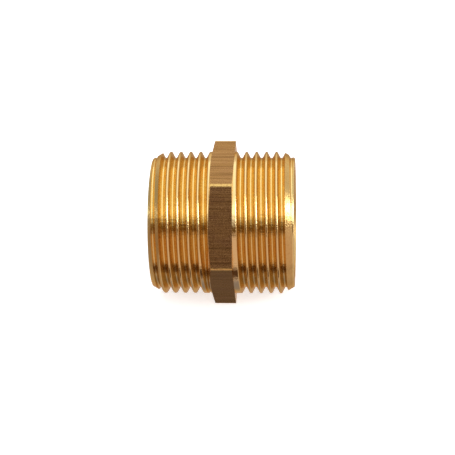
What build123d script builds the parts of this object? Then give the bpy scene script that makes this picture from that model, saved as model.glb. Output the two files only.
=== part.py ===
from build123d import *
from math import cos, radians, sin, tan
import os

# A male-to-male hex nipple, one piece turned from brass hexagon bar. Millimetres.
# The pipe axis is X and the hexagon lies on a flat, so +Z is up. The origin is the bore centre at mid-length.

# pipe thread: 1 inch ISO 228 class B, Whitworth form, right hand at both ends. The whole form is cut
# under the basic size by the allowance, which is inside the class's 0.36 mm.
pitch = 25.4 / 11
allowance = 0.25
major_diameter = 33.249 - allowance
minor_diameter = 30.291 - allowance
flank_angle = 27.5
round_radius = 0.137329 * pitch
# the blank is turned a little smaller again, so each rounded crest keeps a narrow flat
turned_diameter = 32.96
# a groove's section stops this far short of the middle of each crest, then runs this far out into the air
crest_land_half = 0.07
section_overrun = 0.8
groove_turns = 6

# lengths along the axis
long_thread = 13.8
short_thread = 13.7
hex_width = 5.3

# hexagon, with a shallow cone turned on the side next to the long thread
across_flats = 33.0
hex_edge_radius = 0.6
crown_diameter = 32.6
crown_angle = 10.0

# ends and bore
rim_diameter = 29.9
lead_angle = 30.0
bore_diameter = 25.0
bore_chamfer = 0.6
# an edge within this of the bore's radius is one of its mouths
radius_tolerance = 0.01

# run-out of the groove next to the hexagon. The full angles are where the groove starts to climb,
# measured from +Y towards +Z, and the gaps are from its centre there to the side of the hexagon.
runout_turn = 90.0
runout_step = 15.0
runout_clearance = 0.06
long_full_angle = 165.0
long_full_gap = 1.03
short_full_angle = 10.0
short_full_gap = 1.04

left_end = -(long_thread + hex_width + short_thread) / 2
right_end = -left_end
hex_left = left_end + long_thread
hex_right = hex_left + hex_width
turned_radius = turned_diameter / 2
rim_radius = rim_diameter / 2
bore_radius = bore_diameter / 2
lead_length = (turned_radius - rim_radius) / tan(radians(lead_angle))
runout_lift = turned_radius - minor_diameter / 2 + runout_clearance


def groove_section(x, angle, lift):
    """The groove's cross-section in the half-plane through the X axis at this angle from +Y towards +Z,
    raised by lift from full depth. Its root and its two crest shoulders are rounded."""
    root_centre = minor_diameter / 2 + round_radius + lift
    crest_centre = major_diameter / 2 - round_radius + lift
    side = round_radius * cos(radians(flank_angle))
    rise = round_radius * sin(radians(flank_angle))
    half = pitch / 2
    land = half - crest_land_half
    crest_top = crest_centre + (round_radius**2 - crest_land_half**2) ** 0.5
    air = crest_top + section_overrun
    shoulder_angle = radians((90 - flank_angle) / 2)
    shoulder_side = half - round_radius * sin(shoulder_angle)
    shoulder_rise = crest_centre + round_radius * cos(shoulder_angle)
    a = radians(angle)
    with BuildSketch(Plane(origin=(x, 0, 0), x_dir=(1, 0, 0), z_dir=(0, -sin(a), cos(a)))) as section:
        with BuildLine():
            ThreePointArc(
                (-side, root_centre - rise), (0, root_centre - round_radius), (side, root_centre - rise)
            )
            Line((side, root_centre - rise), (half - side, crest_centre + rise))
            ThreePointArc(
                (half - side, crest_centre + rise), (shoulder_side, shoulder_rise), (land, crest_top)
            )
            Polyline((land, crest_top), (land, air), (-land, air), (-land, crest_top))
            ThreePointArc(
                (-land, crest_top), (-shoulder_side, shoulder_rise), (side - half, crest_centre + rise)
            )
            Line((side - half, crest_centre + rise), (-side, root_centre - rise))
        make_face()
    return section.sketch


# One turn of the groove, starting over the axis at x = 0, and the part turn in which it climbs out of
# the metal.
with BuildPart() as groove_turn:
    with BuildLine() as groove_path:
        Helix(pitch=pitch, height=pitch, radius=minor_diameter / 2, direction=(1, 0, 0))
    sweep(sections=groove_section(0, 90, 0), path=groove_path.line, is_frenet=True)

runout_steps = round(runout_turn / runout_step)
with BuildPart() as groove_runout:
    loft(
        sections=[
            groove_section(
                pitch * i * runout_step / 360, 90 + i * runout_step, runout_lift * i / runout_steps
            )
            for i in range(runout_steps + 1)
        ]
    )

with BuildPart() as hexagon:
    with BuildSketch(Plane.YZ.offset(hex_left)):
        RegularPolygon(radius=across_flats / 2, side_count=6, major_radius=False)
    extrude(amount=hex_width)
    fillet(hexagon.edges().filter_by(Axis.X), radius=hex_edge_radius)
    crown_drop = (across_flats - crown_diameter / 2) * tan(radians(crown_angle))
    with BuildSketch(Plane.XY):
        with BuildLine():
            Polyline(
                (hex_left, crown_diameter / 2),
                (hex_left, across_flats),
                (hex_left + crown_drop, across_flats),
                close=True,
            )
        make_face()
    revolve(axis=Axis.X, mode=Mode.SUBTRACT)

with BuildPart() as nipple_body:
    # the turned blank, with a lead-in cone at each end
    with BuildSketch(Plane.XY):
        with BuildLine():
            Polyline(
                (left_end, 0),
                (left_end, rim_radius),
                (left_end + lead_length, turned_radius),
                (right_end - lead_length, turned_radius),
                (right_end, rim_radius),
                (right_end, 0),
                close=True,
            )
        make_face()
    revolve(axis=Axis.X)

    # both threads, cut turn by turn outwards from the hexagon. Turned end for end they stay right hand.
    long_start = Location((hex_left - long_full_gap, 0, 0), (long_full_angle - 90, 0, 0))
    short_start = Location((hex_right + short_full_gap, 0, 0), (short_full_angle - 90, 0, 180))
    for start in (long_start, short_start):
        with Locations(start):
            add(groove_runout.part, mode=Mode.SUBTRACT)
        for turn in range(groove_turns):
            with Locations(start * Location((-(turn + 1) * pitch, 0, 0))):
                add(groove_turn.part, mode=Mode.SUBTRACT)

    add(hexagon.part)

    # the through bore
    with BuildSketch(Plane.YZ.offset(left_end)):
        Circle(radius=bore_radius)
    extrude(amount=right_end - left_end, mode=Mode.SUBTRACT)
    mouths = nipple_body.edges().filter_by(GeomType.CIRCLE)
    mouths = mouths.filter_by(lambda edge: abs(edge.radius - bore_radius) < radius_tolerance)
    chamfer(mouths, length=bore_chamfer)

nipple_body.part.label = "nipple_body"
os.makedirs("parts", exist_ok=True)
export_step(nipple_body.part, "parts/nipple_body.step")
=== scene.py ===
import math

import bmesh
import bpy
from mathutils import Matrix, Vector


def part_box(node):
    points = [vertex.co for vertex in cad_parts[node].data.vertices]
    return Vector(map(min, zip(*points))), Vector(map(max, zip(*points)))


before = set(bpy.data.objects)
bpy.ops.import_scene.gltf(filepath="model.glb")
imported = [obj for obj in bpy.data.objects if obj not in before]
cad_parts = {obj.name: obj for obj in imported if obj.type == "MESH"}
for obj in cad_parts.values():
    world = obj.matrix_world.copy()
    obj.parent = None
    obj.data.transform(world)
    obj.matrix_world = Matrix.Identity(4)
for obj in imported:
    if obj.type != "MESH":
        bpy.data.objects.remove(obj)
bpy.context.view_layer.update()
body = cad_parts["nipple_body"]
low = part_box("nipple_body")[0]

# the nipple in millimetres: the hexagon's sides along X, and then distances from the axis
HEX_LEFT = -2.6
HEX_RIGHT = 2.7
CREST_RADIUS = 16.48
ROOT_RADIUS = 15.02
CORNER_RADIUS = 18.96
RIM_RADIUS = 14.95
MILLIMETRE = 0.001

# turned brass: two slow tints, and what is laid over them
TURNED_PALE = (0.79, 0.575, 0.235)
TURNED_DEEP = (0.77, 0.52, 0.195)
CHATTER_MARK = (0.66, 0.39, 0.13)
TORN_GRAIN = (0.92, 0.70, 0.32)
# paler crests and roots: partly burnished metal, partly painted highlight lines
CREST_BURNISH_AND_HIGHLIGHT = (0.96, 0.74, 0.36)
ROOT_BURNISH_AND_HIGHLIGHT = (0.94, 0.73, 0.31)
TURNING_RING = (0.60, 0.38, 0.14)
# how far the burnished crests and roots, also painted paler as highlight lines, hide the colour under them,
# and their roughness
BURNISH_AND_HIGHLIGHT_AMOUNT = 0.8
BURNISHED_ROUGHNESS = 0.09

# drawn skin: two tints in streaks, and what is laid over them
SKIN_DEEP = (0.33, 0.180, 0.064)
SKIN_PALE = (0.42, 0.234, 0.092)
REDDISH_PATCH = (0.34, 0.178, 0.088)
DARK_LINE = (0.22, 0.116, 0.042)
PALE_LINE = (0.48, 0.285, 0.125)
PALE_SPECK = (0.58, 0.37, 0.18)
DARK_SPECK = (0.20, 0.10, 0.034)
WORN_CORNER = (0.74, 0.50, 0.17)
WORN_ROUGHNESS = 0.24
# brass seen at a grazing angle
GRAZING_TINT = (0.95, 0.78, 0.5)


class Nodes:
    """An emptied node tree, with one short call for each kind of node."""

    def __init__(self, tree):
        self.tree = tree
        tree.nodes.clear()

    def node(self, kind, inputs=None, **settings):
        made = self.tree.nodes.new(kind)
        for key, value in settings.items():
            setattr(made, key, value)
        for key, value in (inputs or {}).items():
            self.put(made.inputs[key], value)
        return made

    def put(self, socket, value):
        if isinstance(value, bpy.types.NodeSocket):
            self.tree.links.new(value, socket)
        elif socket.type == "RGBA":
            socket.default_value = (*value, 1)
        else:
            socket.default_value = value

    def math(self, operation, a, b=0.0):
        return self.node("ShaderNodeMath", {0: a, 1: b}, operation=operation).outputs[0]

    def times(self, a, b):
        return self.math("MULTIPLY", a, b)

    def plus(self, a, b):
        return self.math("ADD", a, b)

    def ramp(self, value, start, end, to_low=0.0, to_high=1.0):
        """Goes smoothly from to_low, where value is at start, to to_high, where it is at end."""
        inputs = {"Value": value, "From Min": start, "From Max": end, "To Min": to_low, "To Max": to_high}
        return self.node("ShaderNodeMapRange", inputs, interpolation_type="SMOOTHSTEP").outputs[0]

    def noise(self, where, scale, detail=2.0, roughness=0.5):
        """Smooth noise from 0 to 1. Its scale along each axis is about how many lumps there are per unit."""
        scaled = self.node("ShaderNodeVectorMath", {0: where, 1: scale}, operation="MULTIPLY").outputs[0]
        inputs = {"Vector": scaled, "Scale": 1.0, "Detail": detail, "Roughness": roughness}
        return self.node("ShaderNodeTexNoise", inputs).outputs["Fac"]

    def mix(self, amount, a, b):
        """A mix of two colours."""
        return self.node("ShaderNodeMix", {0: amount, 6: a, 7: b}, data_type="RGBA").outputs[2]

    def blend(self, amount, a, b):
        """A mix of two numbers."""
        return self.node("ShaderNodeMix", {0: amount, 2: a, 3: b}, data_type="FLOAT").outputs[0]


def turned_finish(s, mm, around, radius):
    """Colour, roughness and height in millimetres of turned brass: tool lines and chatter from the lathe,
    torn grain, burnished crests and roots that are also painted paler as highlight lines, and rings on the
    bore, the chamfers and the end faces."""
    tool_lines = s.noise(around, (14.0, 0.12, 14.0))
    rings = s.noise(around, (2.4, 0.03, 2.4), 3.0, 0.75)
    chatter = s.noise(around, (1.2, 1.6, 1.2), 3.0)
    grain = s.noise(mm, (2.8, 2.8, 2.8), 3.0, 0.7)
    tint = s.noise(mm, (0.22, 0.22, 0.22))

    crest = s.ramp(radius, CREST_RADIUS - 0.09, CREST_RADIUS - 0.02)
    root = s.ramp(radius, ROOT_RADIUS + 0.16, ROOT_RADIUS + 0.04)
    root = s.times(root, s.ramp(radius, RIM_RADIUS, RIM_RADIUS + 0.03))
    plain = s.ramp(radius, RIM_RADIUS + 0.1, RIM_RADIUS)

    colour = s.mix(s.ramp(tint, 0.35, 0.65), TURNED_PALE, TURNED_DEEP)
    colour = s.mix(s.ramp(chatter, 0.5, 0.75, 0.0, 0.4), colour, CHATTER_MARK)
    colour = s.mix(s.ramp(grain, 0.58, 0.7, 0.0, 0.3), colour, TORN_GRAIN)
    # crests and roots painted paler: burnished metal and painted highlight lines
    colour = s.mix(s.times(crest, BURNISH_AND_HIGHLIGHT_AMOUNT), colour, CREST_BURNISH_AND_HIGHLIGHT)
    colour = s.mix(s.times(root, BURNISH_AND_HIGHLIGHT_AMOUNT), colour, ROOT_BURNISH_AND_HIGHLIGHT)
    colour = s.mix(s.times(plain, s.ramp(rings, 0.5, 0.7, 0.0, 0.5)), colour, TURNING_RING)

    rough = s.ramp(chatter, 0.3, 0.8, 0.17, 0.28)
    rough = s.blend(s.math("MAXIMUM", crest, root), rough, BURNISHED_ROUGHNESS)
    rough = s.blend(plain, rough, s.ramp(rings, 0.3, 0.7, 0.14, 0.30))

    torn = s.plus(s.times(chatter, 0.03), s.times(grain, 0.022))
    height = s.blend(plain, torn, s.times(rings, 0.03))
    height = s.plus(height, s.times(tool_lines, 0.006))
    return colour, rough, height


def drawn_finish(s, mm, radius):
    """Colour, roughness and height in millimetres of the bar's drawn skin: long die marks and finer streaks
    along the bar where it is lined, speckle where it isn't, and bright worn corners."""
    die_marks = s.noise(mm, (0.03, 1.9, 1.9), 3.0, 0.65)
    streaks = s.noise(mm, (0.10, 5.0, 5.0), 2.0, 0.6)
    speckle = s.noise(mm, (2.6, 4.2, 4.2), 3.0, 0.7)
    patches = s.noise(mm, (0.35, 0.6, 0.6))

    lined = s.ramp(s.noise(mm, (0.05, 0.22, 0.22), 1.0), 0.42, 0.58)
    dark_lines = s.times(s.ramp(die_marks, 0.48, 0.38), s.blend(lined, 0.35, 0.7))
    pale_lines = s.times(s.ramp(die_marks, 0.54, 0.64), s.blend(lined, 0.35, 0.6))
    pale_specks = s.times(s.ramp(speckle, 0.56, 0.70), s.blend(lined, 0.5, 0.15))
    dark_specks = s.times(s.ramp(speckle, 0.42, 0.30), s.blend(lined, 0.4, 0.1))
    worn = s.ramp(radius, CORNER_RADIUS - 0.22, CORNER_RADIUS - 0.06)
    worn = s.times(worn, s.ramp(speckle, 0.35, 0.55, 0.35, 1.0))

    colour = s.mix(s.ramp(streaks, 0.34, 0.66), SKIN_DEEP, SKIN_PALE)
    colour = s.mix(s.ramp(patches, 0.4, 0.7, 0.0, 0.4), colour, REDDISH_PATCH)
    colour = s.mix(dark_lines, colour, DARK_LINE)
    colour = s.mix(pale_lines, colour, PALE_LINE)
    colour = s.mix(pale_specks, colour, PALE_SPECK)
    colour = s.mix(dark_specks, colour, DARK_SPECK)
    colour = s.mix(worn, colour, WORN_CORNER)

    rough = s.blend(worn, s.ramp(speckle, 0.3, 0.7, 0.21, 0.32), WORN_ROUGHNESS)
    height = s.plus(s.times(streaks, 0.018), s.times(speckle, 0.007))
    return colour, rough, height


def skin_mask(s, x, radius):
    """1 on the hexagon's flats and corners, which keep the bar's drawn skin, and 0 on everything turned."""
    past_left = s.math("GREATER_THAN", x, HEX_LEFT - 0.01)
    past_right = s.math("LESS_THAN", x, HEX_RIGHT + 0.01)
    outside = s.math("GREATER_THAN", radius, CREST_RADIUS - 0.02)
    normal = s.node("ShaderNodeNewGeometry").outputs["Normal"]
    axial = s.math("ABSOLUTE", s.node("ShaderNodeSeparateXYZ", {0: normal}).outputs[0])
    # the crown turned on the hexagon's left side faces partly along the axis, as no flat or corner does
    flat = s.ramp(axial, 0.14, 0.1)
    return s.times(s.times(past_left, past_right), s.times(outside, flat))


def brass_material():
    material = bpy.data.materials.new("brass")
    material.use_nodes = True
    s = Nodes(material.node_tree)
    metres = s.node("ShaderNodeTexCoord").outputs["Object"]
    to_mm = {0: metres, "Scale": 1 / MILLIMETRE}
    mm = s.node("ShaderNodeVectorMath", to_mm, operation="SCALE").outputs[0]
    x, y, z = s.node("ShaderNodeSeparateXYZ", {0: mm}).outputs
    radius = s.math("SQRT", s.plus(s.times(y, y), s.times(z, z)))
    # the same place unrolled: along the axis, round it at the crests, and away from it
    arc = s.times(s.math("ARCTAN2", z, y), CREST_RADIUS)
    around = s.node("ShaderNodeCombineXYZ", {0: x, 1: arc, 2: radius}).outputs[0]

    skin = skin_mask(s, x, radius)
    turned_colour, turned_rough, turned_height = turned_finish(s, mm, around, radius)
    drawn_colour, drawn_rough, drawn_height = drawn_finish(s, mm, radius)
    height = s.blend(skin, turned_height, drawn_height)
    bump = s.node("ShaderNodeBump", {"Strength": 1.0, "Distance": MILLIMETRE, "Height": height})
    surface = s.node(
        "ShaderNodeBsdfPrincipled",
        {
            "Base Color": s.mix(skin, turned_colour, drawn_colour),
            "Metallic": 1.0,
            "Roughness": s.blend(skin, turned_rough, drawn_rough),
            "Specular Tint": GRAZING_TINT,
            "Normal": bump.outputs[0],
        },
    )
    s.node("ShaderNodeOutputMaterial", {"Surface": surface.outputs[0]})
    return material


body.material_slots[0].material = brass_material()

# the studio, in metres
FLOOR_RADIUS = 2.2
COVE_RADIUS = 0.6
COVE_STEPS = 12
WALL_HEIGHT = 1.3
SPIN_STEPS = 96
WELD_DISTANCE = 0.0001


def floor_mesh():
    """A round floor that curves up into a wall all round, spun about Z from its profile."""
    profile = [(0.0, 0.0), (FLOOR_RADIUS, 0.0)]
    for step in range(1, COVE_STEPS + 1):
        turn = math.radians(90 * step / COVE_STEPS)
        profile.append((FLOOR_RADIUS + COVE_RADIUS * math.sin(turn), COVE_RADIUS * (1 - math.cos(turn))))
    profile.append((FLOOR_RADIUS + COVE_RADIUS, WALL_HEIGHT))
    spun = bmesh.new()
    line = [spun.verts.new((r, 0, h)) for r, h in profile]
    edges = [spun.edges.new(pair) for pair in zip(line, line[1:])]
    bmesh.ops.spin(
        spun, geom=line + edges, cent=(0, 0, 0), axis=(0, 0, 1), angle=math.tau, steps=SPIN_STEPS
    )
    bmesh.ops.remove_doubles(spun, verts=spun.verts, dist=WELD_DISTANCE)
    mesh = bpy.data.meshes.new("floor")
    spun.to_mesh(mesh)
    spun.free()
    for face in mesh.polygons:
        face.use_smooth = True
    return mesh


def paper_material():
    """White paper that gives off some light of its own and has no gloss."""
    material = bpy.data.materials.new("paper")
    material.use_nodes = True
    s = Nodes(material.node_tree)
    surface = s.node(
        "ShaderNodeBsdfPrincipled",
        {
            "Base Color": (0.85, 0.85, 0.85),
            "Roughness": 0.9,
            "Specular IOR Level": 0.0,
            "Emission Color": (1, 1, 1),
            "Emission Strength": 0.62,
        },
    )
    s.node("ShaderNodeOutputMaterial", {"Surface": surface.outputs[0]})
    return material


floor = bpy.data.objects.new("floor", floor_mesh())
bpy.context.scene.collection.objects.link(floor)
floor.location.z = low.z
floor.data.materials.append(paper_material())
# the brass mirrors the world's light and dark bands, not the floor
floor.visible_glossy = False

# a camera a little to the right of square on, looking down on the nipple
AZIMUTH = math.radians(4.42)
ELEVATION = math.radians(34.23)
ROLL = math.radians(-2.33)
DISTANCE = 0.3757
# what it points at is this far right of the bore's centre, and this far under it, as the camera sees them
AIM_RIGHT = 0.0007
AIM_UNDER = 0.0012
LENS = 127.55
SENSOR_WIDTH = 36
NEAREST = 0.01
back = Vector(
    (
        math.sin(AZIMUTH) * math.cos(ELEVATION),
        -math.cos(AZIMUTH) * math.cos(ELEVATION),
        math.sin(ELEVATION),
    )
)
level = Vector((math.cos(AZIMUTH), math.sin(AZIMUTH), 0))
right = level * math.cos(ROLL) + back.cross(level) * math.sin(ROLL)
up = back.cross(right)
camera = bpy.data.objects.new("camera", bpy.data.cameras.new("camera"))
bpy.context.scene.collection.objects.link(camera)
camera.data.lens = LENS
camera.data.sensor_width = SENSOR_WIDTH
camera.data.clip_start = NEAREST
place = back * DISTANCE + right * AIM_RIGHT - up * AIM_UNDER
camera.matrix_world = Matrix.Translation(place) @ Matrix((right, up, back)).transposed().to_4x4()
bpy.context.scene.camera = camera


def panel(name, centre, width, height, target, power):
    """A rectangular light that faces its target. Its size is in metres and its power in watts."""
    lamp = bpy.data.objects.new(name, bpy.data.lights.new(name, "AREA"))
    bpy.context.scene.collection.objects.link(lamp)
    lamp.data.shape = "RECTANGLE"
    lamp.data.size = width
    lamp.data.size_y = height
    lamp.data.energy = power
    lamp.location = centre
    lamp.rotation_euler = (Vector(target) - Vector(centre)).to_track_quat("-Z", "Y").to_euler()


# a wide softbox overhead with a faint strip in front of it, a bright panel low on the right, and a small
# faint one low on the left
panel("softbox", (0, 0.23, 0.75), 1.1, 2.06, (0, 0.23, 0), 4.35)
panel("front_strip", (0, -0.52, 0.70), 0.9, 0.26, (0, 0, 0), 0.2)
panel("right_light", (0.9, -0.17, 0.41), 0.34, 0.44, (0, 0, 0), 3.0)
panel("left_light", (-0.95, -0.12, 0.31), 0.26, 0.14, (0, 0, 0), 0.12)

# The surround that the brass mirrors. Each band runs from one elevation to another, in degrees above the
# horizon, and its colour blends into the next band's between them. Two dark gaps cross the camera's side,
# and the far side is paler, with one shallow shaded gap.
UNDERNEATH = (0.26, 0.24, 0.34)
OVERHEAD = (0.62, 0.60, 0.58)
NEAR_BANDS = (
    (-90, -80, UNDERNEATH),
    (-74, -69, (0.58, 0.43, 0.40)),
    (-66, -47, (0.08, 0.04, 0.025)),
    (-42, 11, (0.66, 0.49, 0.45)),
    (17, 27.5, (0.13, 0.07, 0.022)),
    (35, 35, (0.80, 0.76, 0.78)),
    (50, 90, OVERHEAD),
)
FAR_BANDS = (
    (-90, -80, UNDERNEATH),
    (-60, -60, (0.60, 0.48, 0.46)),
    (-30, -30, (0.62, 0.50, 0.46)),
    (-21, -5, (0.50, 0.41, 0.37)),
    (3, 3, (0.84, 0.74, 0.70)),
    (30, 30, (0.78, 0.72, 0.70)),
    (50, 90, OVERHEAD),
)
# By a unit direction's Y, the far bands turn into the near ones between these two values. By its X, the
# surround brightens between these two, from LEFT_LIGHT of its full strength.
NEAR_FADE = (-0.2, -0.45)
LEFT_FADE = (-0.85, -0.35)
LEFT_LIGHT = 0.55


def band_ramp(s, height, table):
    """The colours of one table of bands, by a height from 0 straight down to 1 straight up."""
    wanted = [(elevation, colour) for start, end, colour in table for elevation in sorted({start, end})]
    ramp = s.node("ShaderNodeValToRGB", {0: height})
    stops = ramp.color_ramp.elements
    while len(stops) < len(wanted):
        stops.new(0.5)
    for stop, (elevation, colour) in zip(stops, wanted):
        stop.position = (math.sin(math.radians(elevation)) + 1) / 2
        stop.color = (*colour, 1)
    return ramp.outputs[0]


def studio_world():
    world = bpy.data.worlds.new("studio")
    world.use_nodes = True
    s = Nodes(world.node_tree)
    direction = s.node("ShaderNodeTexCoord").outputs["Generated"]
    x, y, z = s.node("ShaderNodeSeparateXYZ", {0: direction}).outputs
    height = s.node("ShaderNodeMapRange", {"Value": z, "From Min": -1}).outputs[0]
    colour = s.mix(s.ramp(y, *NEAR_FADE), band_ramp(s, height, FAR_BANDS), band_ramp(s, height, NEAR_BANDS))
    strength = s.ramp(x, *LEFT_FADE, LEFT_LIGHT)
    light = s.node("ShaderNodeBackground", {"Color": colour, "Strength": strength})
    s.node("ShaderNodeOutputWorld", {"Surface": light.outputs[0]})
    return world


bpy.context.scene.world = studio_world()
bpy.context.scene.view_settings.view_transform = "Standard"
